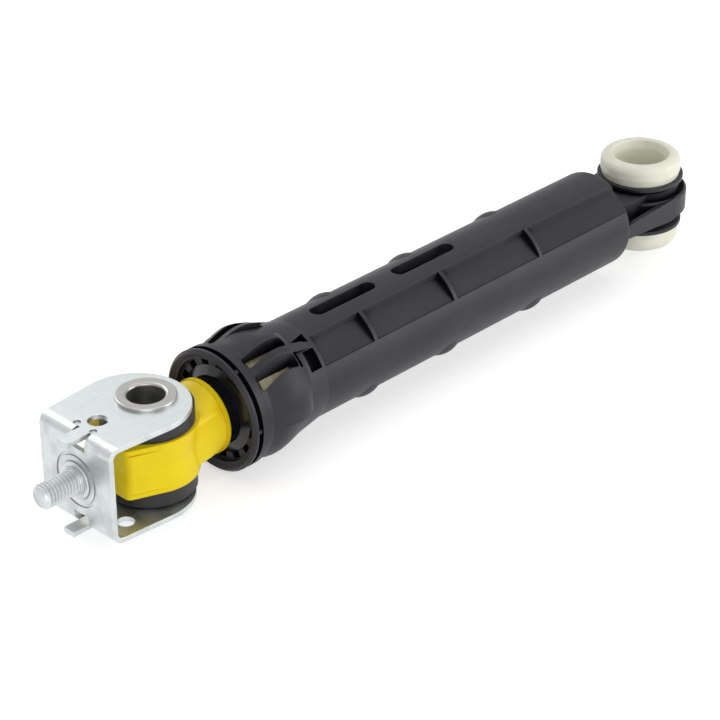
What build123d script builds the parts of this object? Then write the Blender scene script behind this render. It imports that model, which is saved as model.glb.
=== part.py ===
from build123d import *

import os
from math import atan, cos, degrees, pi, radians, sin

# Friction shock absorber of a washing machine, pushed in.
# X runs along the damper from the bracket pivot to the far pivot, Z runs along both
# pivots and Y goes across. The origin is the middle of the bracket pivot. Angles round
# the damper are counted from +Y towards +Z.

os.makedirs("parts", exist_ok=True)

# Clearances
running_gap = 0.08  # shaft in a bush that turns on it
press_gap = 0.05  # pieces that are pushed together for good
slide_gap = 0.3  # pieces that pass each other
face_gap = 0.3  # flat faces that turn past each other

# Overall layout
eye_distance = 286.0  # from pivot to pivot, pushed in
stroke_length = 90.0  # how far the barrel pulls out
stroke_margin = 4.5  # left between the cage and the buffer, pulled out

# Bracket, folded from one strip of sheet
sheet = 2.0
bracket_height = 40.5
bracket_back_x = -35.0  # outer face of the back plate
bracket_back_width = 39.2
bracket_nose_x = -6.3  # centre of the round ends of the two ears
bracket_nose_radius = 21.8
bend_radius = 4.5  # outside the fold
ear_hole_x = -23.2
ear_hole_radius = 4.0
floor_hole_radius = 3.3
floor_hole_spacing = 25.0
lug_width = 5.6
lug_reach = 6.4  # how far a lug stands out of the back plate
lug_y = -1.5
lug_relief = 1.5  # slit on each side of a lug
lug_relief_height = 6.2
dimple_radius = 1.5
dimple_depth = 0.6
dimple_x = -29.2
dimple_spacing = 9.2
collar_radius = 7.6  # raised ring in the back plate round the stud
collar_height = 0.9
collar_round = 0.5
ring_groove_radius = 10.6
ring_groove_width = 1.2
ring_groove_depth = 0.35

# Stud
stud_radius = 5.0
stud_length = 17.3  # outside the back plate
stud_shoulder_radius = 5.7  # plain part in the plate's hole
stud_shoulder_reach = 0.5  # how far the shoulder stands out of the raised ring
stud_head_radius = 8.5
stud_head_thickness = 1.8
stud_point = 1.2  # chamfer at the tip

# Pivot sleeve, a steel tube rolled over at both ends
sleeve_bore_radius = 7.2
sleeve_radius = 8.75
sleeve_flange_radius = 11.75
sleeve_flange_thickness = 1.5
sleeve_lip_round = 0.6
sleeve_mouth_round = 1.2

# Rubber bushes in the plunger's eye
rubber_flange_radius = 17.9
rubber_spigot_radius = 13.0
rubber_edge_chamfer = 0.8
rubber_split = 0.4  # between the two spigots at mid height

# Yellow plunger: eye, neck, disc and a spigot inside the stem
plunger_eye_radius = 19.1
plunger_eye_height = 21.0
plunger_eye_back_x = -21.0
plunger_eye_back_width = 24.0
plunger_eye_corner = 2.5
plunger_eye_waist = 0.9  # how far the wall is drawn in at mid height
plunger_eye_lip = 2.2  # height of the straight lip above and below the waist
neck_start_x = 5.0
neck_start_half_width = 17.0
neck_start_half_height = 9.6
neck_waist_x = 17.0
neck_waist_half_width = 14.2
neck_waist_half_height = 10.0
neck_corner = 2.5
disc_radius = 15.4
disc_x = 25.9  # start of the disc behind the neck
disc_thickness = 1.9
disc_edge = 0.4  # step from the neck to the disc
spigot_length = 18.0
spigot_chamfer = 1.0

# Black stem
stem_radius = 13.5
stem_bore_radius = 10.3
stem_end_chamfer = 1.0

# Stop ring and buffer at the inner end of the stem
stop_groove_depth = 1.3
stop_ring_width = 5.0
stop_ring_end_gap = 4.0  # stem left behind the ring
stop_ring_radius = 16.1
buffer_width = 5.0
buffer_radius = 15.8
buffer_chamfer = 0.7

# Barrel mouth
mouth_x = 31.0
mouth_dish = 1.6  # how far the inner edge of the front face lies back
mouth_face_inner_radius = 22.0
rim_radius = 25.2
rim_round = 1.2
front_rim_width = 2.2
rim_groove_width = 2.2
rim_groove_radius = 23.0
rear_rim_width = 3.0
groove_rib_count = 6
groove_rib_width = 1.6
groove_rib_drop = 0.6  # how far a rib stays below the rims

# Head: land behind the rims, then three crowns that differ in height and in length
land_radius = 24.2
land_end_x = 42.0
crown_rise = 0.3  # slope with which a crown leaves the land
low_crown_peak_x = 49.0
low_crown_radius = 25.5
low_crown_fall_x = 58.5
low_crown_fall_radius = 23.7
low_crown_end_x = 74.0
high_crown_peak_x = 53.5
high_crown_radius = 26.5
high_crown_fall_x = 61.0
high_crown_fall_radius = 25.0
high_crown_end_x = 66.0
leaf_peak_x = 54.0
leaf_radius = 26.9
leaf_fall_x = 62.5
leaf_fall_radius = 24.6
leaf_end_x = 72.4
leaf_half_angle = 4.5
slot_pair_angle = 56.5  # of a leaf, counted from the horizontal
slot_pair_half_angle = 21.0  # of the high crown that a pair of slots is cut in
panel_end_angle = 187.0  # lower edge of the high crown's plain side
head_bore_radius = 21.4
head_bore_end_x = 62.0
head_bore_cone = 4.0
head_slot_start_x = 39.6
head_slot_length = 20.4
head_slot_width = 4.6
head_leaf_width = 2.7  # thin leaf between the two slots of a pair
head_slot_round = 1.6
cross_notch_x = 61.4
cross_notch_width = 2.0
cross_notch_length = 6.6
cross_notch_angle = 45.0  # from the horizontal

# Plain part of the barrel
barrel_radius = 21.0
bore_radius = 16.5
far_end_gap = 30.0  # from the barrel's end to the far pivot
end_wall = 6.0
barrel_end_round = 2.6
window_length = 34.0
window_width = 6.6
window_centres_x = (102.5, 148.0)
rib_thickness = 1.8
rib_xs = (73.6, 102.5, 148.0, 199.5)
channel_angle = 135.0
channel_half_angle = 18.5
channel_wall = 3.0  # height of the steep side
channel_step = 0.6  # height of the shallow side
channel_cut_reach = 1.2  # the cut's outer corners, as a share of the barrel's radius
pocket_start_x = 66.3
pocket_depth = 3.2
pocket_angle = 141.0  # middle of the square pocket
pocket_width = 8.6
wedge_pocket_start_x = 64.6
wedge_pocket_angle = 116.0
wedge_pocket_width = 4.4
boss_angle = 50.0
boss_xs = (102.0, 148.0, 199.5)
boss_length = 10.5
boss_height = 1.3

# Far eye
hub_bore_radius = 14.5
hub_lip_radius = 18.7
hub_lip_thickness = 1.5
hub_height = 22.4
hub_waist_radius = 17.2
band_radius = 20.5
band_height = 10.4
band_round = 0.9
strap_thickness = 2.2
strap_root_height = 5.6  # at the barrel's end, growing to the band's height
neck_block_half_width = 13.5
neck_block_height = 17.0

# Cream bushes in the far eye
eye_bush_radius = 17.5
eye_bush_root_radius = 16.7  # where the flange stands on the hub
eye_bush_root_height = 3.0  # up to the full radius
eye_bush_flange = 9.4
eye_bush_bore_radius = 11.5
eye_bush_mouth_radius = 12.4
eye_bush_mouth_depth = 4.0
eye_bush_edge_round = 3.8
eye_bush_inner_round = 1.0
eye_bush_split = 0.6

# Pieces inside the mouth
guide_ring_x = 34.8
guide_ring_length = 5.4
guide_ring_wall = 3.3
guide_tooth_count = 15
guide_tooth_depth = 2.7
guide_tooth_length = 3.6
guide_tooth_share = 0.45
wiper_x = 33.5
wiper_length = 6.7
wiper_lip_width = 0.7
wiper_lip_round = 0.4
wiper_slope = 1.5  # how far the outer edge lies behind the lip
cage_length = 21.0
cage_wall = 1.5
cage_rim_width = 1.6
cage_window_angle = 66.0
cage_window_margin = 2.2  # from the cage's ends to its windows
lining_radius = 19.0

# Places worked out from the sizes above
half_height = bracket_height / 2
barrel_end_x = eye_distance - far_end_gap
ear_inner_z = half_height - sheet
back_inner_x = bracket_back_x + sheet
eye_top_z = plunger_eye_height / 2
rubber_bore_radius = sleeve_radius + running_gap
ear_bore_radius = sleeve_radius + press_gap
lining_bore_radius = stem_radius + running_gap
front_rim_end_x = mouth_x + front_rim_width
rear_rim_x = front_rim_end_x + rim_groove_width
rear_rim_end_x = rear_rim_x + rear_rim_width
bore_start_x = head_bore_end_x + head_bore_cone
bore_end_x = barrel_end_x - end_wall
wiper_end_x = wiper_x + wiper_length
cage_x = max(wiper_end_x, guide_ring_x + guide_ring_length) + slide_gap
cage_end_x = cage_x + cage_length
cage_radius = head_bore_radius - slide_gap
stem_end_x = cage_end_x + stroke_length + stroke_margin + buffer_width + stop_ring_width + stop_ring_end_gap
stop_groove_end_x = stem_end_x - stop_ring_end_gap
stop_ring_x = stop_groove_end_x - stop_ring_width
buffer_x = stop_ring_x - buffer_width
disc_end_x = disc_x + disc_thickness
boss_ball_radius = boss_length**2 / (8 * boss_height) + boss_height / 2
slot_pair_y = (land_radius + leaf_radius) / 2 * cos(radians(slot_pair_angle))
hub_z = hub_height / 2


def radial_plane(angle, distance=0.0):
    """Plane facing outwards at an angle round the damper, with local x along the damper."""
    outwards = (0, cos(radians(angle)), sin(radians(angle)))
    return Plane(origin=(0, 0, 0), x_dir=(1, 0, 0), z_dir=outwards).offset(distance)


def axial_plane(angle):
    """Plane through the damper's axis whose local y points outwards at an angle round it."""
    across = (0, -sin(radians(angle)), cos(radians(angle)))
    return Plane(origin=(0, 0, 0), x_dir=(1, 0, 0), z_dir=across)


def upright_plane(x):
    """Plane of a turned section whose axis is a pivot at x, with local y upwards."""
    return Plane(origin=(x, 0, 0), x_dir=(1, 0, 0), z_dir=(0, -1, 0))


def pivot_axis(x):
    """Axis of the pivot at x."""
    return Axis((x, 0, 0), (0, 0, 1))


# Bracket: two ears, a back plate, two lugs left standing at the folds
bracket_nose_end_x = bracket_nose_x + bracket_nose_radius
collar_front_x = bracket_back_x - collar_height
with BuildPart() as bracket:
    with BuildSketch(Plane.XZ) as folded_strip:
        with Locations((bracket_back_x, 0)):
            Rectangle(
                bracket_nose_end_x - bracket_back_x, bracket_height, align=(Align.MIN, Align.CENTER)
            )
        fillet(folded_strip.vertices().group_by(Axis.X)[0], bend_radius)
        with BuildSketch(Plane.XZ, mode=Mode.SUBTRACT) as strip_inside:
            with Locations((back_inner_x, 0)):
                Rectangle(
                    bracket_nose_end_x - back_inner_x, 2 * ear_inner_z, align=(Align.MIN, Align.CENTER)
                )
            fillet(strip_inside.vertices().group_by(Axis.X)[0], bend_radius - sheet)
    extrude(amount=bracket_nose_radius, both=True)
    with BuildSketch(Plane.XY) as ear_outline:
        with BuildLine():
            CenterArc((bracket_nose_x, 0), bracket_nose_radius, 0, 360)
            Line((bracket_back_x, -bracket_back_width / 2), (bracket_back_x, bracket_back_width / 2))
        make_hull()
    extrude(amount=half_height, both=True, mode=Mode.INTERSECT)
    with BuildSketch(Plane.YZ.offset(bracket_back_x)):
        for side in (1, -1):
            with Locations((lug_y, side * (half_height - lug_relief_height / 2))):
                Rectangle(lug_width + 2 * lug_relief, lug_relief_height)
    extrude(amount=bend_radius, mode=Mode.SUBTRACT)
    with BuildSketch(Plane.YZ.offset(bracket_back_x - lug_reach)):
        for side in (1, -1):
            with Locations((lug_y, side * (half_height - sheet / 2))):
                Rectangle(lug_width, sheet)
    extrude(amount=lug_reach + bend_radius + sheet)
    with BuildSketch(Plane.YZ.offset(bracket_back_x)):
        Circle(collar_radius)
    extrude(amount=-collar_height)
    collar_edges = bracket.faces().filter_by_position(
        Axis.X, collar_front_x - face_gap, collar_front_x + collar_height / 2
    )
    fillet(collar_edges.filter_by(Axis.X).edges().filter_by(GeomType.CIRCLE), collar_round)
    with BuildSketch(Plane.YZ.offset(bracket_back_x)):
        Circle(ring_groove_radius + ring_groove_width / 2)
        Circle(ring_groove_radius - ring_groove_width / 2, mode=Mode.SUBTRACT)
    extrude(amount=ring_groove_depth, mode=Mode.SUBTRACT)
    with BuildSketch(Plane.YZ.offset(back_inner_x)):
        Circle(stud_shoulder_radius + press_gap)
    extrude(amount=-(sheet + collar_height), mode=Mode.SUBTRACT)
    with BuildSketch(Plane.XY.offset(ear_inner_z)):
        with Locations((ear_hole_x, 0)):
            Circle(ear_hole_radius)
    extrude(amount=sheet, mode=Mode.SUBTRACT)
    with BuildSketch(Plane.XY.offset(half_height)):
        with Locations((dimple_x, 0)):
            with GridLocations(1, dimple_spacing, 1, 2):
                Circle(dimple_radius)
    extrude(amount=-dimple_depth, mode=Mode.SUBTRACT)
    with BuildSketch(Plane.XY.offset(-half_height)):
        with Locations((ear_hole_x, 0)):
            with GridLocations(1, floor_hole_spacing, 1, 2):
                Circle(floor_hole_radius)
    extrude(amount=sheet, mode=Mode.SUBTRACT)
    with BuildSketch(Plane.XY.offset(-half_height)):
        Circle(ear_bore_radius)
    extrude(amount=bracket_height, mode=Mode.SUBTRACT)
bracket.part.label = "bracket"
export_step(bracket.part, "parts/bracket.step")

# Mounting stud: head inside the back plate, shoulder in it, threaded shank outside
stud_tip_x = bracket_back_x - stud_length
stud_head_end_x = back_inner_x + stud_head_thickness
stud_shoulder_x = collar_front_x - stud_shoulder_reach
with BuildPart() as mounting_stud:
    with BuildSketch(Plane.XZ):
        with BuildLine():
            Polyline(
                (stud_tip_x, 0),
                (stud_tip_x, stud_radius - stud_point),
                (stud_tip_x + stud_point, stud_radius),
                (stud_shoulder_x, stud_radius),
                (stud_shoulder_x, stud_shoulder_radius),
                (back_inner_x, stud_shoulder_radius),
                (back_inner_x, stud_head_radius),
                (stud_head_end_x, stud_head_radius),
                (stud_head_end_x, 0),
                close=True,
            )
        make_face()
    revolve(axis=Axis.X)
mounting_stud.part.label = "mounting_stud"
export_step(mounting_stud.part, "parts/mounting_stud.step")

# Pivot sleeve: tube through both ears, rolled over outside them
sleeve_top_z = half_height + sleeve_flange_thickness
with BuildPart() as pivot_sleeve:
    with BuildSketch(upright_plane(0)):
        with Locations((sleeve_bore_radius, 0)):
            Rectangle(
                sleeve_radius - sleeve_bore_radius, 2 * sleeve_top_z, align=(Align.MIN, Align.CENTER)
            )
        for side in (1, -1):
            with Locations((sleeve_bore_radius, side * (half_height + sleeve_flange_thickness / 2))):
                Rectangle(
                    sleeve_flange_radius - sleeve_bore_radius,
                    sleeve_flange_thickness,
                    align=(Align.MIN, Align.CENTER),
                )
    revolve(axis=pivot_axis(0))
    sleeve_ends = pivot_sleeve.edges().filter_by(GeomType.CIRCLE).group_by(Axis.Z)
    flange_edges = ShapeList(sleeve_ends[0] + sleeve_ends[-1]).group_by(SortBy.RADIUS)
    fillet(flange_edges[-1], sleeve_lip_round)
    sleeve_ends = pivot_sleeve.edges().filter_by(GeomType.CIRCLE).group_by(Axis.Z)
    mouth_edges = ShapeList(sleeve_ends[0] + sleeve_ends[-1]).group_by(SortBy.RADIUS)
    fillet(mouth_edges[0], sleeve_mouth_round)
pivot_sleeve.part.label = "pivot_sleeve"
export_step(pivot_sleeve.part, "parts/pivot_sleeve.step")

# Rubber bushes: a flange between the ear and the eye, and a spigot in the eye
rubber_top_z = ear_inner_z - face_gap
for bush_name, side in (("upper_rubber_bush", 1), ("lower_rubber_bush", -1)):
    with BuildPart() as rubber_bush:
        with BuildSketch(upright_plane(0)):
            with BuildLine():
                Polyline(
                    (rubber_bore_radius, side * rubber_split / 2),
                    (rubber_spigot_radius, side * rubber_split / 2),
                    (rubber_spigot_radius, side * eye_top_z),
                    (rubber_flange_radius, side * eye_top_z),
                    (rubber_flange_radius, side * (rubber_top_z - rubber_edge_chamfer)),
                    (rubber_flange_radius - rubber_edge_chamfer, side * rubber_top_z),
                    (rubber_bore_radius, side * rubber_top_z),
                    close=True,
                )
            make_face()
        revolve(axis=pivot_axis(0))
    rubber_bush.part.label = bush_name
    export_step(rubber_bush.part, f"parts/{bush_name}.step")

# Plunger: waisted eye with a flat back, flared neck, disc and a spigot for the stem
eye_bore_radius = rubber_spigot_radius + press_gap
eye_lip_z = eye_top_z - plunger_eye_lip
eye_flare = degrees(atan(plunger_eye_waist / eye_lip_z))
spigot_radius = stem_bore_radius - press_gap
with BuildPart() as plunger:
    with BuildSketch(Plane.XY) as eye_waist:
        with BuildLine():
            CenterArc((0, 0), plunger_eye_radius - plunger_eye_waist, 0, 360)
            Line(
                (plunger_eye_back_x + plunger_eye_waist, -plunger_eye_back_width / 2),
                (plunger_eye_back_x + plunger_eye_waist, plunger_eye_back_width / 2),
            )
        make_hull()
        fillet(eye_waist.vertices().group_by(Axis.X)[0], plunger_eye_corner)
    extrude(amount=eye_lip_z, both=True, taper=-eye_flare)
    for lip_z in (eye_lip_z, -eye_top_z):
        with BuildSketch(Plane.XY.offset(lip_z)) as eye_lip:
            with BuildLine():
                CenterArc((0, 0), plunger_eye_radius, 0, 360)
                Line(
                    (plunger_eye_back_x, -plunger_eye_back_width / 2),
                    (plunger_eye_back_x, plunger_eye_back_width / 2),
                )
            make_hull()
            fillet(eye_lip.vertices().group_by(Axis.X)[0], plunger_eye_corner)
        extrude(amount=plunger_eye_lip)
    with BuildSketch(Plane.YZ.offset(neck_start_x)):
        RectangleRounded(2 * neck_start_half_width, 2 * neck_start_half_height, neck_corner)
    with BuildSketch(Plane.YZ.offset(neck_waist_x)):
        RectangleRounded(2 * neck_waist_half_width, 2 * neck_waist_half_height, neck_corner)
    with BuildSketch(Plane.YZ.offset(disc_x)):
        Circle(disc_radius - disc_edge)
    loft()
    with BuildSketch(Plane.YZ.offset(disc_x)):
        Circle(disc_radius)
    extrude(amount=disc_thickness)
    with BuildSketch(Plane.XZ):
        with BuildLine():
            spigot_end_x = disc_end_x + spigot_length
            Polyline(
                (disc_x, 0),
                (disc_x, spigot_radius),
                (spigot_end_x - spigot_chamfer, spigot_radius),
                (spigot_end_x, spigot_radius - spigot_chamfer),
                (spigot_end_x, 0),
                close=True,
            )
        make_face()
    revolve(axis=Axis.X)
    with BuildSketch(Plane.XY.offset(-eye_top_z)):
        Circle(eye_bore_radius)
    extrude(amount=plunger_eye_height, mode=Mode.SUBTRACT)
plunger.part.label = "plunger"
export_step(plunger.part, "parts/plunger.step")

# Stem: black tube on the plunger's spigot, with a groove for the stop ring
groove_radius = stem_radius - stop_groove_depth
with BuildPart() as plunger_stem:
    with BuildSketch(Plane.XZ):
        with BuildLine():
            Polyline(
                (disc_end_x, stem_bore_radius),
                (disc_end_x, stem_radius),
                (stop_ring_x, stem_radius),
                (stop_ring_x, groove_radius),
                (stop_groove_end_x, groove_radius),
                (stop_groove_end_x, stem_radius),
                (stem_end_x - stem_end_chamfer, stem_radius),
                (stem_end_x, stem_radius - stem_end_chamfer),
                (stem_end_x, stem_bore_radius),
                close=True,
            )
        make_face()
    revolve(axis=Axis.X)
plunger_stem.part.label = "plunger_stem"
export_step(plunger_stem.part, "parts/plunger_stem.step")

# Stop ring: clipped into the stem's groove, so that the stem can't be pulled out
with BuildPart() as stop_ring:
    with BuildSketch(Plane.YZ.offset(stop_ring_x + press_gap)):
        Circle(stop_ring_radius)
        Circle(groove_radius + press_gap, mode=Mode.SUBTRACT)
    extrude(amount=stop_ring_width - 2 * press_gap)
stop_ring.part.label = "stop_ring"
export_step(stop_ring.part, "parts/stop_ring.step")

# Stop buffer: soft ring in front of the stop ring
with BuildPart() as stop_buffer:
    with BuildSketch(Plane.YZ.offset(buffer_x)):
        Circle(buffer_radius)
        Circle(stem_radius + press_gap, mode=Mode.SUBTRACT)
    extrude(amount=buffer_width)
    buffer_rim = stop_buffer.edges().filter_by(GeomType.CIRCLE).group_by(SortBy.RADIUS)[-1]
    chamfer(buffer_rim, buffer_chamfer)
stop_buffer.part.label = "stop_buffer"
export_step(stop_buffer.part, "parts/stop_buffer.step")


def channel_profile():
    """Corners of a side channel's cut, seen along the damper: shallow side, steep side, outside."""
    low = radians(channel_angle + channel_half_angle)
    high = radians(channel_angle - channel_half_angle)
    low_edge = (barrel_radius * cos(low), barrel_radius * sin(low))
    high_edge = (barrel_radius * cos(high), barrel_radius * sin(high))
    floor_low = ((barrel_radius - channel_step) * cos(low), (barrel_radius - channel_step) * sin(low))
    return (
        floor_low,
        (high_edge[0], high_edge[1] - channel_wall),
        (high_edge[0], high_edge[1] + channel_wall),
        (2 * high_edge[0], high_edge[1] + channel_wall),
        (channel_cut_reach * low_edge[0], channel_cut_reach * low_edge[1]),
    )


# Crowns of the head: first angle, sweep, peak x, peak radius, falling x, falling radius, end x
low_crown = (low_crown_peak_x, low_crown_radius, low_crown_fall_x, low_crown_fall_radius, low_crown_end_x)
high_crown = (
    high_crown_peak_x,
    high_crown_radius,
    high_crown_fall_x,
    high_crown_fall_radius,
    high_crown_end_x,
)
leaf_crown = (leaf_peak_x, leaf_radius, leaf_fall_x, leaf_fall_radius, leaf_end_x)
near_pair_angle = 180 - slot_pair_angle
near_panel_start = near_pair_angle - slot_pair_half_angle
crowns = (
    (0, 360, low_crown),
    (slot_pair_angle - slot_pair_half_angle, 2 * slot_pair_half_angle, high_crown),
    (near_panel_start, panel_end_angle - near_panel_start, high_crown),
    (near_panel_start + 180 + slot_pair_half_angle, panel_end_angle - near_pair_angle, high_crown),
    (slot_pair_angle - leaf_half_angle, 2 * leaf_half_angle, leaf_crown),
    (near_pair_angle - leaf_half_angle, 2 * leaf_half_angle, leaf_crown),
)

# Barrel: mouth rims, crowned and slotted head, channelled tube and far eye in one moulding
with BuildPart() as barrel:
    with BuildSketch(Plane.XZ):
        with BuildLine():
            Polyline(
                (mouth_x, 0),
                (mouth_x, rim_radius - rim_round),
                (mouth_x + rim_round, rim_radius),
                (front_rim_end_x, rim_radius),
                (front_rim_end_x, rim_groove_radius),
                (rear_rim_x, rim_groove_radius),
                (rear_rim_x, rim_radius),
                (rear_rim_end_x, rim_radius),
                (rear_rim_end_x, land_radius),
                (land_end_x, land_radius),
                (land_end_x, barrel_radius),
                (barrel_end_x - barrel_end_round, barrel_radius),
            )
            RadiusArc(
                (barrel_end_x - barrel_end_round, barrel_radius),
                (barrel_end_x, barrel_radius - barrel_end_round),
                barrel_end_round,
            )
            Polyline(
                (barrel_end_x, barrel_radius - barrel_end_round),
                (barrel_end_x, 0),
                (mouth_x, 0),
            )
        make_face()
    revolve(axis=Axis.X)
    # Low domed bosses on the two plain sides
    for turned in (0, 180):
        with Locations(radial_plane(boss_angle + turned, barrel_radius + boss_height - boss_ball_radius)):
            with Locations(*[(x, 0) for x in boss_xs]):
                Sphere(boss_ball_radius)
    for start_angle, sweep_angle, crown in crowns:
        peak_x, peak_radius, fall_x, fall_radius, end_x = crown
        with BuildSketch(axial_plane(start_angle)):
            with BuildLine():
                Spline(
                    (land_end_x, land_radius),
                    (peak_x, peak_radius),
                    (fall_x, fall_radius),
                    (end_x, barrel_radius),
                    tangents=((1, crown_rise), (1, -(fall_radius - barrel_radius) / (end_x - fall_x))),
                )
                Polyline(
                    (end_x, barrel_radius),
                    (end_x, bore_radius),
                    (land_end_x, bore_radius),
                    (land_end_x, land_radius),
                )
            make_face()
        revolve(axis=Axis.X, revolution_arc=sweep_angle)
    # Straps and neck that carry the far eye
    for side in (1, -1):
        strap_middle = Plane(
            origin=(0, side * (band_radius - strap_thickness / 2), 0), x_dir=(1, 0, 0), z_dir=(0, -1, 0)
        )
        with BuildSketch(strap_middle):
            with BuildLine():
                Polyline(
                    (bore_end_x, -strap_root_height / 2),
                    (eye_distance, -band_height / 2),
                    (eye_distance, band_height / 2),
                    (bore_end_x, strap_root_height / 2),
                    close=True,
                )
            make_face()
        extrude(amount=strap_thickness / 2, both=True)
    with BuildSketch(Plane.XY.offset(-neck_block_height / 2)):
        with Locations((bore_end_x, 0)):
            Rectangle(
                eye_distance - bore_end_x, 2 * neck_block_half_width, align=(Align.MIN, Align.CENTER)
            )
    extrude(amount=neck_block_height)
    # Far eye: lips, waist and the band that the straps run into
    with BuildSketch(upright_plane(eye_distance)):
        with BuildLine():
            Polyline(
                (0, -hub_z),
                (hub_lip_radius, -hub_z),
                (hub_lip_radius, -hub_z + hub_lip_thickness),
                (hub_waist_radius, -hub_z + 2 * hub_lip_thickness),
                (hub_waist_radius, -band_height / 2),
                (band_radius - band_round, -band_height / 2),
                (band_radius, -band_height / 2 + band_round),
                (band_radius, band_height / 2 - band_round),
                (band_radius - band_round, band_height / 2),
                (hub_waist_radius, band_height / 2),
                (hub_waist_radius, hub_z - 2 * hub_lip_thickness),
                (hub_lip_radius, hub_z - hub_lip_thickness),
                (hub_lip_radius, hub_z),
                (0, hub_z),
                close=True,
            )
        make_face()
    revolve(axis=pivot_axis(eye_distance))
    with BuildSketch(Plane.XY.offset(-hub_z)):
        with Locations((eye_distance, 0)):
            Circle(hub_bore_radius)
    extrude(amount=hub_height, mode=Mode.SUBTRACT)
    # Inside of the barrel
    with BuildSketch(Plane.XZ):
        with BuildLine():
            Polyline(
                (mouth_x, 0),
                (mouth_x, mouth_face_inner_radius + mouth_dish),
                (mouth_x + mouth_dish, mouth_face_inner_radius),
                (mouth_x + mouth_dish, head_bore_radius),
                (head_bore_end_x, head_bore_radius),
                (bore_start_x, bore_radius),
                (bore_end_x, bore_radius),
                (bore_end_x, 0),
                close=True,
            )
        make_face()
    revolve(axis=Axis.X, mode=Mode.SUBTRACT)
    # Small ribs across the groove between the two rims
    groove_rib_height = rim_radius - rim_groove_radius - groove_rib_drop
    with BuildSketch(Plane.YZ.offset(front_rim_end_x)):
        with PolarLocations(rim_groove_radius, groove_rib_count):
            Rectangle(2 * groove_rib_height, groove_rib_width)
    extrude(amount=rim_groove_width)
    # Slots on each side of the two leaves, sunk straight down from above
    slot_offset = (head_leaf_width + head_slot_width) / 2
    with BuildSketch(Plane.XY):
        with Locations((head_slot_start_x + head_slot_length / 2, 0)):
            with GridLocations(1, 2 * slot_pair_y, 1, 2):
                with GridLocations(1, 2 * slot_offset, 1, 2):
                    RectangleRounded(head_slot_length, head_slot_width, head_slot_round)
    extrude(amount=leaf_radius, mode=Mode.SUBTRACT)
    for notch_angle in (cross_notch_angle, 180 - cross_notch_angle):
        with BuildSketch(radial_plane(notch_angle, bore_radius)):
            with Locations((cross_notch_x, 0)):
                Rectangle(cross_notch_width, cross_notch_length)
        extrude(amount=leaf_radius, mode=Mode.SUBTRACT)
    # Through windows above and below
    for window_angle in (90, 270):
        with BuildSketch(radial_plane(window_angle, bore_radius / 2)):
            with Locations(*[(x, 0) for x in window_centres_x]):
                SlotOverall(window_length, window_width)
        extrude(amount=barrel_radius, mode=Mode.SUBTRACT)
    # Side channels, split by cross ribs that keep the barrel's round outline
    channel_ends = [*rib_xs, barrel_end_x + rib_thickness / 2]
    for start, end in zip(channel_ends[:-1], channel_ends[1:]):
        with BuildSketch(Plane.YZ.offset(start + rib_thickness / 2)):
            with PolarLocations(0, 2):
                Polygon(*channel_profile(), align=None)
        extrude(amount=end - start - rib_thickness, mode=Mode.SUBTRACT)
    # Square pocket and wedge-shaped pocket between the head and the first rib
    pocket_end_x = rib_xs[0] - rib_thickness / 2
    for turned in (0, 180):
        with BuildSketch(radial_plane(pocket_angle + turned, barrel_radius - pocket_depth)):
            with Locations((pocket_start_x, 0)):
                Rectangle(
                    pocket_end_x - pocket_start_x, pocket_width, align=(Align.MIN, Align.CENTER)
                )
        extrude(amount=barrel_radius, mode=Mode.SUBTRACT)
        with BuildSketch(radial_plane(wedge_pocket_angle + turned, barrel_radius - pocket_depth)):
            with BuildLine():
                Polyline(
                    (wedge_pocket_start_x, 0),
                    (pocket_end_x, -wedge_pocket_width / 2),
                    (pocket_end_x, wedge_pocket_width / 2),
                    close=True,
                )
            make_face()
        extrude(amount=barrel_radius, mode=Mode.SUBTRACT)
barrel.part.label = "barrel"
export_step(barrel.part, "parts/barrel.step")

# Guide ring: toothed ring clipped into the mouth
guide_radius = head_bore_radius - press_gap
guide_bore_radius = guide_radius - guide_ring_wall
with BuildPart() as guide_ring:
    with BuildSketch(Plane.YZ.offset(guide_ring_x)):
        Circle(guide_radius)
        Circle(guide_bore_radius, mode=Mode.SUBTRACT)
    extrude(amount=guide_ring_length)
    tooth_gap = 2 * pi * guide_bore_radius / guide_tooth_count * (1 - guide_tooth_share)
    with BuildSketch(Plane.YZ.offset(guide_ring_x)):
        with PolarLocations(guide_bore_radius, guide_tooth_count):
            Rectangle(2 * guide_tooth_depth, tooth_gap)
    extrude(amount=guide_tooth_length, mode=Mode.SUBTRACT)
guide_ring.part.label = "guide_ring"
export_step(guide_ring.part, "parts/guide_ring.step")

# Wiper ring: smooth ring with a lip that closes the gap round the stem
wiper_radius = guide_bore_radius - press_gap
lip_crest_radius = lining_bore_radius + wiper_lip_width
with BuildPart() as wiper_ring:
    with BuildSketch(Plane.XZ):
        with BuildLine():
            Polyline(
                (wiper_end_x, lining_bore_radius),
                (wiper_x + wiper_lip_round, lining_bore_radius),
                (wiper_x, lining_bore_radius + wiper_lip_round),
                (wiper_x, lip_crest_radius),
                (wiper_x + wiper_slope, wiper_radius),
                (wiper_end_x, wiper_radius),
                close=True,
            )
        make_face()
    revolve(axis=Axis.X)
wiper_ring.part.label = "wiper_ring"
export_step(wiper_ring.part, "parts/wiper_ring.step")

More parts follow.
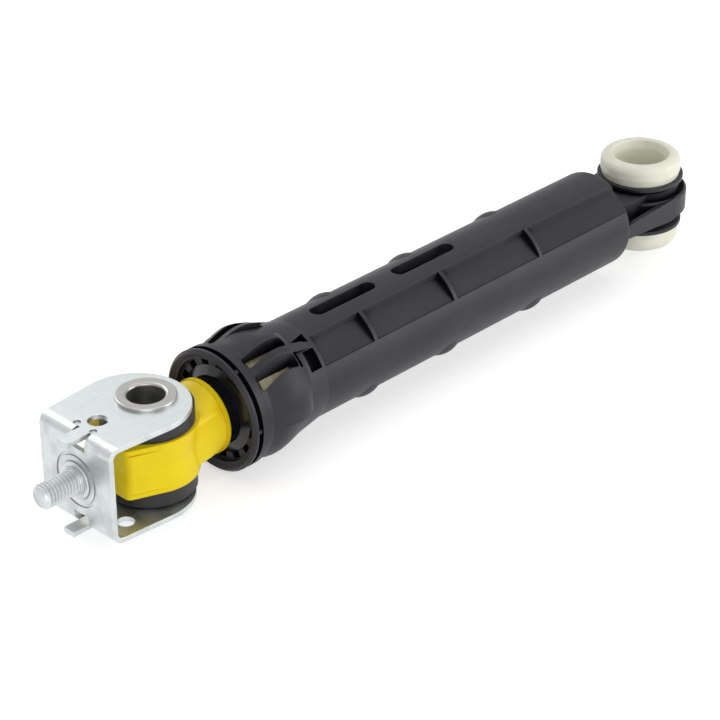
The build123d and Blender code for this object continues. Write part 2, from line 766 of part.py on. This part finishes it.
# Lining cage: windowed sleeve with an inward rim at each end
cage_bore_radius = cage_radius - cage_wall
with BuildPart() as lining_cage:
    with BuildSketch(Plane.YZ.offset(cage_x)):
        Circle(cage_radius)
        Circle(stem_radius + slide_gap, mode=Mode.SUBTRACT)
    extrude(amount=cage_length)
    with BuildSketch(Plane.YZ.offset(cage_x + cage_rim_width)):
        Circle(cage_bore_radius)
    extrude(amount=cage_length - 2 * cage_rim_width, mode=Mode.SUBTRACT)
    for window_angle in (45, 135, 225, 315):
        window_half = cage_radius * sin(radians(cage_window_angle / 2))
        with BuildSketch(radial_plane(window_angle)):
            with Locations((cage_x + cage_length / 2, 0)):
                Rectangle(cage_length - 2 * cage_window_margin, 2 * window_half)
        extrude(amount=2 * cage_radius, mode=Mode.SUBTRACT)
lining_cage.part.label = "lining_cage"
export_step(lining_cage.part, "parts/lining_cage.step")

# Friction lining: foam sleeve that grips the stem
with BuildPart() as friction_lining:
    with BuildSketch(Plane.YZ.offset(cage_x + cage_rim_width + press_gap)):
        Circle(lining_radius)
        Circle(lining_bore_radius, mode=Mode.SUBTRACT)
    extrude(amount=cage_length - 2 * cage_rim_width - 2 * press_gap)
friction_lining.part.label = "friction_lining"
export_step(friction_lining.part, "parts/friction_lining.step")

# Cream bushes of the far eye: thick round flange and a spigot in the hub
eye_bush_top_z = hub_z + eye_bush_flange
for bush_name, side in (("upper_eye_bush", 1), ("lower_eye_bush", -1)):
    with BuildPart() as eye_bush:
        with BuildSketch(upright_plane(eye_distance)):
            with BuildLine():
                Polyline(
                    (eye_bush_bore_radius, side * eye_bush_split / 2),
                    (hub_bore_radius - press_gap, side * eye_bush_split / 2),
                    (hub_bore_radius - press_gap, side * hub_z),
                    (eye_bush_root_radius, side * hub_z),
                    (eye_bush_radius, side * (hub_z + eye_bush_root_height)),
                    (eye_bush_radius, side * eye_bush_top_z),
                    (eye_bush_mouth_radius, side * eye_bush_top_z),
                    (eye_bush_bore_radius, side * (eye_bush_top_z - eye_bush_mouth_depth)),
                    close=True,
                )
            make_face()
        revolve(axis=pivot_axis(eye_distance))
        top_face = eye_bush.faces().filter_by(Axis.Z).sort_by(Axis.Z)[-1 if side > 0 else 0]
        rim_edges = top_face.edges().sort_by(SortBy.RADIUS)
        fillet(rim_edges[-1], eye_bush_edge_round)
        top_face = eye_bush.faces().filter_by(Axis.Z).sort_by(Axis.Z)[-1 if side > 0 else 0]
        fillet(top_face.edges().sort_by(SortBy.RADIUS)[0], eye_bush_inner_round)
    eye_bush.part.label = bush_name
    export_step(eye_bush.part, f"parts/{bush_name}.step")
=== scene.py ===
import logging
from dataclasses import dataclass, field
from enum import Enum
from math import pi, radians

import bmesh
import bpy
import numpy as np
from mathutils import Matrix, Vector


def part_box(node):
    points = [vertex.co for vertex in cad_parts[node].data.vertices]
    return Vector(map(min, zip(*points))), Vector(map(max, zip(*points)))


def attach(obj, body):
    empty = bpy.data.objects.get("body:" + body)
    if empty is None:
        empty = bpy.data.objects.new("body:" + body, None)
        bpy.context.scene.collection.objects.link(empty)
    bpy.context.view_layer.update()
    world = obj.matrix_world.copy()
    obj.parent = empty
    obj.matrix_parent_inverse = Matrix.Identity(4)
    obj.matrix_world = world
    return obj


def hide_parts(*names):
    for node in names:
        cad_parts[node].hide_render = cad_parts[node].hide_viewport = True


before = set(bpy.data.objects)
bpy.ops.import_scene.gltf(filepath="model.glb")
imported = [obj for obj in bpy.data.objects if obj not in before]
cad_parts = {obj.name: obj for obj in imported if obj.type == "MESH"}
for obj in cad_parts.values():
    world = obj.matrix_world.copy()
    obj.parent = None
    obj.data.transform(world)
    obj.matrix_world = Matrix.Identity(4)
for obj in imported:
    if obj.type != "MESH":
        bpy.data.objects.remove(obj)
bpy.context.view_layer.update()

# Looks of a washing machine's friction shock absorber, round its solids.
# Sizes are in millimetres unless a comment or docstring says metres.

LOG = logging.getLogger("shock_absorber")
MM = 0.001
MERGE_DISTANCE = 1e-7  # metres
Colour = tuple[float, float, float]
Place = tuple[float, float, float]
Range = tuple[float, float]


class Slot(Enum):
    """Material slots of the record."""

    ZINC = "zinc_steel"
    BLACK = "black_plastic"
    YELLOW = "yellow_plastic"
    RUBBER = "black_rubber"
    CREAM = "cream_rubber"
    FOAM = "lining_foam"


class Body(Enum):
    """Moving bodies of the record."""

    BRACKET = "bracket"
    PLUNGER = "plunger"
    LINING = "lining"
    BARREL = "barrel"


# ---- shader expressions


class Value:
    """A number that varies over a surface; arithmetic on it adds Math nodes."""

    def __init__(self, nodes: "Nodes", socket: bpy.types.NodeSocket) -> None:
        """Wraps a socket.

        Args:
            nodes: The tree that holds the socket.
            socket: An output socket with one number.
        """
        self.nodes = nodes
        self.socket = socket

    def _math(self, operation: str, *terms: "Value | float") -> "Value":
        """Adds one Math node.

        Args:
            operation: The node's operation.
            terms: Its inputs, in order.

        Returns:
            The node's result.
        """
        node = self.nodes.node("ShaderNodeMath", {"operation": operation}, dict(enumerate(terms)))
        return Value(self.nodes, node.outputs[0])

    def __add__(self, other: "Value | float") -> "Value":
        """Sum."""
        return self._math("ADD", self, other)

    __radd__ = __add__

    def __sub__(self, other: "Value | float") -> "Value":
        """Difference."""
        return self._math("SUBTRACT", self, other)

    def __rsub__(self, other: "Value | float") -> "Value":
        """Difference, the other way round."""
        return self._math("SUBTRACT", other, self)

    def __mul__(self, other: "Value | float") -> "Value":
        """Product."""
        return self._math("MULTIPLY", self, other)

    __rmul__ = __mul__

    def largest(self, *others: "Value") -> "Value":
        """Takes the largest of several values.

        Args:
            others: The values to compare with this one.

        Returns:
            The largest at each place.
        """
        result = self
        for other in others:
            result = result._math("MAXIMUM", result, other)
        return result

    def between(self, low: float, high: float) -> "Value":
        """Rises smoothly from 0 at low to 1 at high.

        Args:
            low: Where the result starts to rise.
            high: Where it reaches 1.

        Returns:
            The smooth step.
        """
        node = self.nodes.node(
            "ShaderNodeMapRange",
            {"interpolation_type": "SMOOTHSTEP", "clamp": True},
            {"Value": self, "From Min": low, "From Max": high},
        )
        return Value(self.nodes, node.outputs["Result"])


class Nodes:
    """A node tree, built from nothing."""

    def __init__(self, tree: bpy.types.NodeTree) -> None:
        """Empties the tree.

        Args:
            tree: The tree of a material or a world.
        """
        self.tree = tree
        self.tree.nodes.clear()

    def node(
        self,
        kind: str,
        settings: dict[str, object] | None = None,
        inputs: dict[str | int, object] | None = None,
    ) -> bpy.types.Node:
        """Adds a node.

        Args:
            kind: The node's type.
            settings: Its properties, set before its sockets.
            inputs: A constant, socket or Value for each input, by name or number.

        Returns:
            The new node.
        """
        made = self.tree.nodes.new(kind)
        for key, setting in (settings or {}).items():
            setattr(made, key, setting)
        for key, given in (inputs or {}).items():
            source = given.socket if isinstance(given, Value) else given
            if isinstance(source, bpy.types.NodeSocket):
                self.tree.links.new(source, made.inputs[key])
            else:
                made.inputs[key].default_value = source
        return made

    def background_seen(self) -> Value:
        """Marks the rays that show the background: the camera's and those in mirrors and glass.

        Returns:
            1 for those rays, 0 for the rays that carry light.
        """
        rays = self.node("ShaderNodeLightPath").outputs
        camera, glossy, glass = (
            Value(self, rays[name]) for name in ("Is Camera Ray", "Is Glossy Ray", "Is Transmission Ray")
        )
        return camera.largest(glossy, glass)


@dataclass(frozen=True)
class Pattern:
    """A soft random pattern.

    Its blotches have a size and a share of finer detail, and lie closer along an axis that is
    stretched. The part of it between the two ends of the spread is drawn out over 0 to 1.
    """

    size: float
    detail: float = 3.0
    stretch: Place = (1.0, 1.0, 1.0)
    spread: Range | None = None


class Shader(Nodes):
    """One material's node tree."""

    edge_samples: int = 4
    edge_lean: Range = (0.02, 0.22)
    recess_samples: int = 16
    recess_shade: Range = (0.08, 0.5)

    def __init__(self, name: str) -> None:
        """Makes an empty material.

        Args:
            name: The material's name.
        """
        self.material = bpy.data.materials.new(name)
        self.material.use_nodes = True
        super().__init__(self.material.node_tree)
        self.place = self.node("ShaderNodeTexCoord").outputs["Object"]

    def noise(self, pattern: Pattern) -> Value:
        """Lays a soft random pattern over the piece.

        Args:
            pattern: The pattern's sizes.

        Returns:
            The pattern, from 0 to 1.
        """
        moved = self.node("ShaderNodeMapping", {}, {"Vector": self.place, "Scale": pattern.stretch})
        made = self.node(
            "ShaderNodeTexNoise",
            {},
            {"Vector": moved.outputs[0], "Scale": 1.0 / (pattern.size * MM), "Detail": pattern.detail},
        )
        drawn = Value(self, made.outputs[0])
        return drawn.between(*pattern.spread) if pattern.spread else drawn

    def cells(self, size: float) -> Value:
        """Distance to the nearest of many random points, for pores and spangle.

        Args:
            size: Distance between the points.

        Returns:
            The distance, about 0 to 1.
        """
        made = self.node("ShaderNodeTexVoronoi", {}, {"Vector": self.place, "Scale": 1.0 / (size * MM)})
        return Value(self, made.outputs["Distance"])

    def blend(
        self, share: Value, under: Colour | bpy.types.NodeSocket, over: Colour
    ) -> bpy.types.NodeSocket:
        """Lays one colour over another.

        Args:
            share: How much of the upper colour shows.
            under: The lower colour, or its socket.
            over: The upper colour.

        Returns:
            The mixed colour's socket.
        """
        lower = under if isinstance(under, bpy.types.NodeSocket) else (*under, 1.0)
        made = self.node("ShaderNodeMix", {"data_type": "RGBA"}, {0: share, 6: lower, 7: (*over, 1.0)})
        return made.outputs[2]

    def rounded(self, radius: float) -> bpy.types.NodeSocket:
        """Normal with the look of rounded edges.

        Args:
            radius: Radius of the rounding.

        Returns:
            The normal's socket.
        """
        made = self.node("ShaderNodeBevel", {"samples": self.edge_samples}, {"Radius": radius * MM})
        return made.outputs[0]

    def edges(self, rounded: bpy.types.NodeSocket) -> Value:
        """Mask of the edges: how far the rounded normal leans away from the flat one.

        Args:
            rounded: A normal from rounded().

        Returns:
            0 on faces, up to 1 along edges.
        """
        flat = self.node("ShaderNodeNewGeometry").outputs["Normal"]
        dot = self.node("ShaderNodeVectorMath", {"operation": "DOT_PRODUCT"}, {0: rounded, 1: flat})
        return (1.0 - Value(self, dot.outputs["Value"])).between(*self.edge_lean)

    def recess(self, reach: float) -> Value:
        """Mask of creases and grooves, where painted shade is laid.

        Args:
            reach: How far away a wall may stand.

        Returns:
            0 on open faces, up to 1 deep in a groove.
        """
        node = self.node(
            "ShaderNodeAmbientOcclusion",
            {"samples": self.recess_samples, "only_local": True},
            {"Distance": reach * MM},
        )
        return (1.0 - Value(self, node.outputs["AO"])).between(*self.recess_shade)

    def finish(
        self,
        colour: bpy.types.NodeSocket,
        roughness: Value,
        height: Value,
        depth: float,
        normal: bpy.types.NodeSocket,
        constants: dict[str, object] | None = None,
        painted_shade: tuple[Value, Colour] | None = None,
    ) -> bpy.types.Material:
        """Closes the tree with a Principled shader.

        Args:
            colour: Base colour.
            roughness: Roughness.
            height: Relief from 0 to 1.
            depth: Height of the relief.
            normal: Normal that the relief is laid on.
            constants: Numbers for other sockets.
            painted_shade: Share and colour of painted shade, a matt dark layer laid over the finish in
                creases and grooves.

        Returns:
            The material.
        """
        bump = self.node(
            "ShaderNodeBump",
            {},
            {"Strength": 1.0, "Distance": depth * MM, "Height": height, "Normal": normal},
        )
        shader = self.node(
            "ShaderNodeBsdfPrincipled",
            {},
            {"Base Color": colour, "Roughness": roughness, "Normal": bump.outputs[0], **(constants or {})},
        )
        # painted shade: where the recess mask is high, a matt dark layer takes over from the finish
        if painted_shade:
            share, shade_colour = painted_shade
            matt = {"Base Color": (*shade_colour, 1.0), "Roughness": 1.0, "Specular IOR Level": 0.0}
            under = self.node("ShaderNodeBsdfPrincipled", {}, matt)
            shader = self.node(
                "ShaderNodeMixShader", {}, {0: share, 1: shader.outputs[0], 2: under.outputs[0]}
            )
        self.node("ShaderNodeOutputMaterial", {}, {"Surface": shader.outputs[0]})
        return self.material


# ---- finishes
# The roughness of a finish is that of its smoothest places, and its swings are added to it.


@dataclass(frozen=True)
class Finish:
    """A finish and the record's slot that it stands for."""

    name: str
    slot: Slot

    def build(self) -> bpy.types.Material:
        """Makes the material.

        Returns:
            The material.
        """
        raise NotImplementedError


@dataclass(frozen=True)
class MouldedPlastic(Finish):
    """Plastic with a fine moulded grain and faint flow marks, its edges lightened partly as wear and partly
    as painted highlight, with painted shade in its recesses.
    """

    colour: Colour
    flow_colour: Colour
    edge_wear_and_highlight_colour: Colour
    roughness: float = 0.34
    patch_swing: float = 0.16
    grain: Pattern = Pattern(0.35, 2.0)
    grain_depth: float = 0.012
    edge_radius: float = 0.45
    edge_wear_and_highlight_share: float = 0.5
    # painted shade: its colour, how far away a wall may darken a face, and its share
    painted_shade_colour: Colour = (0.004, 0.004, 0.005)
    recess_reach: float = 8.0
    painted_shade_share: float = 0.95
    specular: float = 0.2
    flow: Pattern = Pattern(14.0, 4.0, (0.35, 1.0, 1.0), (0.35, 0.7))
    patches: Pattern = Pattern(5.0)

    def build(self) -> bpy.types.Material:
        """Makes the material.

        Returns:
            The material.
        """
        shader = Shader(self.name)
        rounded = shader.rounded(self.edge_radius)
        colour = shader.blend(shader.noise(self.flow), self.colour, self.flow_colour)
        # edges lightened, partly as wear and partly as painted highlight
        colour = shader.blend(shader.edges(rounded) * self.edge_wear_and_highlight_share, colour, self.edge_wear_and_highlight_colour)
        roughness = shader.noise(self.patches) * self.patch_swing + self.roughness
        grain = shader.noise(self.grain)
        # painted shade in creases and grooves
        painted_shade = (shader.recess(self.recess_reach) * self.painted_shade_share, self.painted_shade_colour)
        constants = {"Specular IOR Level": self.specular}
        return shader.finish(colour, roughness, grain, self.grain_depth, rounded, constants, painted_shade)


@dataclass(frozen=True)
class ZincPlate(Finish):
    """Zinc-plated sheet: pale, cloudy and finely scratched, its edges lightened partly as wear and partly
    as painted highlight, with painted shade in slits and grooves.
    """

    slot: Slot = Slot.ZINC
    colour: Colour = (0.65, 0.685, 0.685)
    cloud_colour: Colour = (0.47, 0.495, 0.50)
    edge_wear_and_highlight_colour: Colour = (0.82, 0.84, 0.84)
    roughness: float = 0.28
    cloud_swing: float = 0.12
    scratch_swing: float = 0.14
    edge_radius: float = 0.35
    # painted shade: its colour, reach and share in slits and grooves
    painted_shade_colour: Colour = (0.10, 0.10, 0.11)
    recess_reach: float = 2.0
    painted_shade_share: float = 0.6
    clouds: Pattern = Pattern(7.0, 5.0, spread=(0.38, 0.66))
    cloud_share: float = 0.5
    spot_distance: float = 1.3
    spot_rim: Range = (0.05, 0.16)
    spot_share: float = 0.25
    edge_wear_and_highlight_share: float = 0.6
    scratches: Pattern = Pattern(0.5, stretch=(1.0, 0.07, 1.0))
    dents: Pattern = Pattern(2.2)
    scratch_height: float = 0.6
    dent_height: float = 0.7
    relief_depth: float = 0.012

    def build(self) -> bpy.types.Material:
        """Makes the material.

        Returns:
            The material.
        """
        shader = Shader(self.name)
        rounded = shader.rounded(self.edge_radius)
        clouds = shader.noise(self.clouds)
        spots = 1.0 - shader.cells(self.spot_distance).between(*self.spot_rim)
        colour = shader.blend(clouds * self.cloud_share, self.colour, self.cloud_colour)
        colour = shader.blend(spots * self.spot_share, colour, self.cloud_colour)
        # edges lightened, partly as wear and partly as painted highlight
        colour = shader.blend(shader.edges(rounded) * self.edge_wear_and_highlight_share, colour, self.edge_wear_and_highlight_colour)
        scratches = shader.noise(self.scratches)
        roughness = clouds * self.cloud_swing + scratches * self.scratch_swing + self.roughness
        relief = scratches * self.scratch_height + shader.noise(self.dents) * self.dent_height
        # painted shade in slits and grooves
        painted_shade = (shader.recess(self.recess_reach) * self.painted_shade_share, self.painted_shade_colour)
        metal = {"Metallic": 1.0}
        return shader.finish(colour, roughness, relief, self.relief_depth, rounded, metal, painted_shade)


@dataclass(frozen=True)
class Rubber(Finish):
    """Moulded rubber: matt, with a dusty bloom."""

    colour: Colour
    bloom_colour: Colour
    roughness: float = 0.49
    bloom_swing: float = 0.18
    edge_radius: float = 0.4
    bloom: Pattern = Pattern(6.0, 5.0, spread=(0.42, 0.75))
    bloom_share: float = 0.6
    skin: Pattern = Pattern(0.6)
    skin_depth: float = 0.015

    def build(self) -> bpy.types.Material:
        """Makes the material.

        Returns:
            The material.
        """
        shader = Shader(self.name)
        bloom = shader.noise(self.bloom)
        colour = shader.blend(bloom * self.bloom_share, self.colour, self.bloom_colour)
        roughness = bloom * self.bloom_swing + self.roughness
        skin = shader.noise(self.skin)
        return shader.finish(colour, roughness, skin, self.skin_depth, shader.rounded(self.edge_radius))


@dataclass(frozen=True)
class Foam(Finish):
    """Open-pored friction foam, soaked with grease in places."""

    colour: Colour
    pore_colour: Colour
    dry_roughness: float = 0.92
    grease_gloss: float = 0.3
    pore_distance: float = 0.7
    pore_rim: Range = (0.2, 0.7)
    pore_depth: float = 0.12
    grease: Pattern = Pattern(4.0, spread=(0.45, 0.6))
    edge_radius: float = 0.2

    def build(self) -> bpy.types.Material:
        """Makes the material.

        Returns:
            The material.
        """
        shader = Shader(self.name)
        pores = shader.cells(self.pore_distance).between(*self.pore_rim)
        colour = shader.blend(pores, self.pore_colour, self.colour)
        roughness = self.dry_roughness - shader.noise(self.grease) * self.grease_gloss
        return shader.finish(colour, roughness, pores, self.pore_depth, shader.rounded(self.edge_radius))


# ---- meshes


def surface(name: str, points: np.ndarray, sharp: float) -> bpy.types.Object:
    """Closed skin over a grid that goes round an axis.

    Each grid cell becomes one quad, the last column joins the first, and the first and last
    rows, drawn together to one place, close the two ends.

    Args:
        name: The piece's name.
        points: Grid of points, rows by columns by 3.
        sharp: Edges that turn by more degrees than this stay sharp.

    Returns:
        The new object.
    """
    rows, columns = points.shape[:2]
    start = np.arange(rows - 1)[:, None] * columns
    here = np.arange(columns)[None, :]
    ahead = (here + 1) % columns
    corners = [start + here, start + ahead, start + columns + ahead, start + columns + here]
    quads = np.stack(corners, axis=-1).reshape(-1, 4)
    mesh = bpy.data.meshes.new(name)
    mesh.from_pydata((points.reshape(-1, 3) * MM).tolist(), [], quads.tolist())
    merge_doubles(mesh)
    mesh.shade_smooth()
    mesh.set_sharp_from_angle(angle=radians(sharp))
    made = bpy.data.objects.new(name, mesh)
    bpy.context.scene.collection.objects.link(made)
    return made


def merge_doubles(mesh: bpy.types.Mesh) -> None:
    """Merges points that lie together and turns all faces outwards.

    Args:
        mesh: The mesh to clean.
    """
    work = bmesh.new()
    work.from_mesh(mesh)
    bmesh.ops.remove_doubles(work, verts=work.verts, dist=MERGE_DISTANCE)
    bmesh.ops.recalc_face_normals(work, faces=work.faces)
    work.to_mesh(mesh)
    work.free()


def dress(finish: Finish, *nodes: str) -> None:
    """Gives CAD nodes one finish, whose material is made once.

    Args:
        finish: The finish.
        nodes: The nodes' names.
    """
    material = bpy.data.materials.get(finish.name) or finish.build()
    for node in nodes:
        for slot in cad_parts[node].material_slots:
            slot.material = material
        LOG.info("dressed %s in %s, for slot %s", node, finish.name, finish.slot.value)


def place(piece: bpy.types.Object, finish: Finish, body: Body, *nodes: str) -> None:
    """Dresses a new piece, hangs it on the body that it rides on and hides the CAD nodes that it replaces.

    Args:
        piece: The piece.
        finish: Its finish.
        body: The body that it rides on.
        nodes: CAD nodes that it replaces.
    """
    piece.data.materials.append(finish.build())
    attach(piece, body.value)
    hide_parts(*nodes)
    LOG.info("made %s with %d faces", piece.name, len(piece.data.polygons))


# ---- sub-assemblies


@dataclass
class Bracket:
    """Folded bracket with its threaded stud and rolled sleeve."""

    body: Body = Body.BRACKET
    thread_radius: float = 5.0
    thread_depth: float = 0.88
    pitch: float = 1.5
    groove_slope: float = 1.25
    crest_share: float = 0.08
    runout: float = 1.5
    point: float = 1.2
    shoulder_radius: float = 5.7
    shoulder_length: float = 3.4
    head_thickness: float = 1.8
    columns: int = 72
    rows_per_turn: int = 12
    sharp: float = 50.0
    zinc: ZincPlate = field(default_factory=lambda: ZincPlate("zinc plate"))
    # painted shade in the thread's grooves, lighter than on the plate
    thread_zinc: ZincPlate = field(default_factory=lambda: ZincPlate("thread zinc", painted_shade_share=0.22))
    sleeve_steel: ZincPlate = field(
        default_factory=lambda: ZincPlate(
            "rolled steel",
            colour=(0.45, 0.45, 0.44),
            cloud_colour=(0.31, 0.305, 0.29),
            edge_wear_and_highlight_colour=(0.60, 0.60, 0.59),
            roughness=0.24,
            edge_radius=0.15,
        )
    )

    def stud(self) -> bpy.types.Object:
        """Threaded stud.

        A radius that depends on the place along the axis and the angle round it: the outline of
        the stud, less a groove that moves on by one pitch for each turn and fades out at the shoulder.

        Returns:
            The stud.
        """
        low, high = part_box("mounting_stud")
        tip, end = low[0] / MM, high[0] / MM
        head_radius = high[1] / MM
        head_start = end - self.head_thickness
        thread_end = head_start - self.shoulder_length
        step = self.pitch / self.rows_per_turn
        along = np.append(np.arange(tip, thread_end, step), thread_end)
        outline = self.thread_radius - np.clip(self.point - (along - tip), 0.0, self.point)
        angle = np.linspace(0.0, 2.0 * pi, self.columns, endpoint=False)
        turn = (along[:, None] / self.pitch + angle[None, :] / (2.0 * pi)) % 1.0
        flank = np.abs(2.0 * turn - 1.0) * self.groove_slope
        groove = np.clip(flank - self.crest_share, 0.0, 1.0)
        fade = np.clip((thread_end - along) / self.runout, 0.0, 1.0)[:, None]
        thread = np.minimum(outline[:, None], self.thread_radius - self.thread_depth * groove * fade)
        ends = np.array([self.shoulder_radius, self.shoulder_radius, head_radius, head_radius, 0.0])
        radius = np.vstack([np.zeros((1, self.columns)), thread, np.repeat(ends[:, None], self.columns, 1)])
        along = np.concatenate([[tip], along, [thread_end, head_start, head_start, end, end]])
        height = np.repeat(along[:, None], self.columns, 1)
        grid = np.stack([height, radius * np.cos(angle), radius * np.sin(angle)], axis=-1)
        LOG.info("thread is %.1f mm long", thread_end - tip)
        return surface("threaded_stud", grid, self.sharp)

    def build(self) -> None:
        """Makes and dresses the bracket's pieces."""
        place(self.stud(), self.thread_zinc, self.body, "mounting_stud")
        dress(self.zinc, "bracket")
        dress(self.sleeve_steel, "pivot_sleeve")


@dataclass
class Plunger:
    """Yellow plunger with its two rubber bushes and the stop at its inner end."""

    body: Body = Body.PLUNGER
    plastic: MouldedPlastic = field(
        default_factory=lambda: MouldedPlastic(
            "yellow plastic",
            Slot.YELLOW,
            colour=(0.90, 0.69, 0.002),
            flow_colour=(0.85, 0.61, 0.001),
            edge_wear_and_highlight_colour=(0.94, 0.80, 0.03),
            roughness=0.32,
            grain=Pattern(0.5, 2.0),
            grain_depth=0.010,
            edge_radius=0.6,
            edge_wear_and_highlight_share=0.3,
            # painted shade: orange-tinted, darkest in the creases where the eye meets the neck
            painted_shade_colour=(0.70, 0.36, 0.0),
            recess_reach=9.0,
            painted_shade_share=0.9,
            specular=0.3,
        )
    )
    stem_plastic: MouldedPlastic = field(
        default_factory=lambda: MouldedPlastic(
            "stem plastic",
            Slot.BLACK,
            colour=(0.006, 0.007, 0.010),
            flow_colour=(0.009, 0.010, 0.013),
            edge_wear_and_highlight_colour=(0.02, 0.021, 0.024),
            roughness=0.12,
            specular=0.5,
        )
    )
    rubber: Rubber = field(
        default_factory=lambda: Rubber(
            "black rubber",
            Slot.RUBBER,
            colour=(0.012, 0.012, 0.013),
            bloom_colour=(0.030, 0.030, 0.032),
        )
    )
    ring_steel: ZincPlate = field(default_factory=lambda: ZincPlate("ring steel"))

    def build(self) -> None:
        """Dresses the plunger's pieces."""
        dress(self.plastic, "plunger")
        dress(self.rubber, "upper_rubber_bush", "lower_rubber_bush", "stop_buffer")
        dress(self.stem_plastic, "plunger_stem")
        dress(self.ring_steel, "stop_ring")


def black_plastic() -> MouldedPlastic:
    """Black plastic of the barrel, its guide ring and the lining's cage.

    Returns:
        The finish.
    """
    return MouldedPlastic(
        "black plastic",
        Slot.BLACK,
        colour=(0.029, 0.029, 0.032),
        flow_colour=(0.039, 0.039, 0.043),
        edge_wear_and_highlight_colour=(0.085, 0.085, 0.090),
    )


@dataclass
class Lining:
    """Friction lining in its cage, inside the barrel's head."""

    body: Body = Body.LINING
    cage_plastic: MouldedPlastic = field(default_factory=black_plastic)
    foam: Foam = field(
        default_factory=lambda: Foam(
            "friction foam", Slot.FOAM, colour=(0.92, 0.87, 0.58), pore_colour=(0.70, 0.64, 0.40)
        )
    )

    def build(self) -> None:
        """Dresses the cage and the lining."""
        dress(self.cage_plastic, "lining_cage")
        dress(self.foam, "friction_lining")


@dataclass
class Barrel:
    """Black barrel with the two rings in its mouth and the cream bushes of its far eye."""

    body: Body = Body.BARREL
    plastic: MouldedPlastic = field(default_factory=black_plastic)
    wiper_rubber: Rubber = field(
        default_factory=lambda: Rubber(
            "wiper rubber",
            Slot.RUBBER,
            colour=(0.010, 0.010, 0.011),
            bloom_colour=(0.016, 0.016, 0.017),
            roughness=0.10,
            edge_radius=0.3,
        )
    )
    cream: Rubber = field(
        default_factory=lambda: Rubber(
            "cream rubber",
            Slot.CREAM,
            colour=(0.77, 0.78, 0.66),
            bloom_colour=(0.71, 0.71, 0.58),
            roughness=0.44,
            edge_radius=0.5,
        )
    )

    def build(self) -> None:
        """Dresses the barrel's pieces."""
        dress(self.plastic, "barrel", "guide_ring")
        dress(self.wiper_rubber, "wiper_ring")
        dress(self.cream, "upper_eye_bush", "lower_eye_bush")


# ---- studio


@dataclass(frozen=True)
class Lamp:
    """A square soft lamp: its place and side in metres and its power in watts."""

    name: str
    place: Place
    side: float
    power: float

    def build(self, target: Place) -> None:
        """Adds the lamp.

        Args:
            target: The place that it faces, in metres.
        """
        data = bpy.data.lights.new(self.name, "AREA")
        data.shape = "SQUARE"
        data.size = self.side
        data.energy = self.power
        made = bpy.data.objects.new(self.name, data)
        made.location = self.place
        made.rotation_euler = (Vector(target) - Vector(self.place)).to_track_quat("-Z", "Y").to_euler()
        bpy.context.scene.collection.objects.link(made)


@dataclass
class Studio:
    """Pale floor, soft lamps and the camera."""

    floor_z: float = -26.3
    floor_reach: float = 6.0  # metres from the middle to each side
    floor_colour: Colour = (0.86, 0.86, 0.86)
    floor_glow: float = 0.5
    backdrop: float = 1.0
    ambient: float = 0.3
    camera_place: Place = (-533.527, -647.736, 523.431)
    camera_right: Place = (0.704526, -0.709618, -0.009202)
    camera_up: Place = (0.363813, 0.350009, 0.863212)
    focal_pixels: float = 2638.71
    image_width: float = 720.0
    sensor: float = 36.0
    far_clip: float = 20.0  # metres
    lamp_target: Place = (0.12, 0.0, 0.0)  # metres
    lamps: tuple[Lamp, ...] = (
        Lamp("top_lamp", (0.3, 0.2, 1.7), 2.8, 16.0),
        Lamp("left_lamp", (-0.95, -1.15, 0.5), 1.1, 9.3),
        Lamp("front_lamp", (0.66, -0.66, 0.24), 0.5, 3.4),
        Lamp("back_lamp", (0.2, 1.4, 0.9), 0.8, 7.0),
    )

    def camera(self) -> None:
        """Puts the camera where the photograph was taken from."""
        data = bpy.data.cameras.new("camera")
        data.sensor_width = self.sensor
        data.lens = self.focal_pixels / self.image_width * self.sensor
        data.clip_end = self.far_clip
        made = bpy.data.objects.new("camera", data)
        right, up = Vector(self.camera_right), Vector(self.camera_up)
        back = right.cross(up)
        turned = Matrix((right, up, back)).transposed().to_4x4()
        made.matrix_world = Matrix.Translation(Vector(self.camera_place) * MM) @ turned
        bpy.context.scene.collection.objects.link(made)
        bpy.context.scene.camera = made

    def surroundings(self) -> None:
        """Pale surroundings: white to the camera and to mirrors, softer as light."""
        world = bpy.data.worlds.new("studio")
        bpy.context.scene.world = world
        world.use_nodes = True
        nodes = Nodes(world.node_tree)
        strength = nodes.background_seen() * (self.backdrop - self.ambient) + self.ambient
        background = nodes.node("ShaderNodeBackground", {}, {"Strength": strength})
        nodes.node("ShaderNodeOutputWorld", {}, {"Surface": background.outputs[0]})

    def floor(self) -> None:
        """Wide pale floor that keeps the object's soft shadow."""
        side, level = self.floor_reach, self.floor_z * MM
        corners = [(-side, -side, level), (side, -side, level), (side, side, level), (-side, side, level)]
        mesh = bpy.data.meshes.new("floor")
        mesh.from_pydata(corners, [], [(0, 1, 2, 3)])
        made = bpy.data.objects.new("floor", mesh)
        bpy.context.scene.collection.objects.link(made)
        shader = Shader("pale floor")
        glow_strength = shader.background_seen() * self.floor_glow
        body = shader.node("ShaderNodeBsdfDiffuse", {}, {"Color": (*self.floor_colour, 1.0)})
        glow = shader.node(
            "ShaderNodeEmission", {}, {"Color": (1.0, 1.0, 1.0, 1.0), "Strength": glow_strength}
        )
        both = shader.node("ShaderNodeAddShader", {}, {0: body.outputs[0], 1: glow.outputs[0]})
        shader.node("ShaderNodeOutputMaterial", {}, {"Surface": both.outputs[0]})
        mesh.materials.append(shader.material)

    def build(self) -> None:
        """Sets the stage."""
        self.camera()
        self.surroundings()
        self.floor()
        for lamp in self.lamps:
            lamp.build(self.lamp_target)


def main() -> None:
    """Builds the stage and the sub-assemblies in order."""
    logging.basicConfig(level=logging.INFO, format="%(message)s")
    bpy.context.scene.view_settings.view_transform = "Standard"
    Studio().build()
    for part in (Bracket(), Plunger(), Lining(), Barrel()):
        part.build()
        LOG.info("finished %s, of body %s", type(part).__name__, part.body.value)


if __name__ == "__main__":
    main()
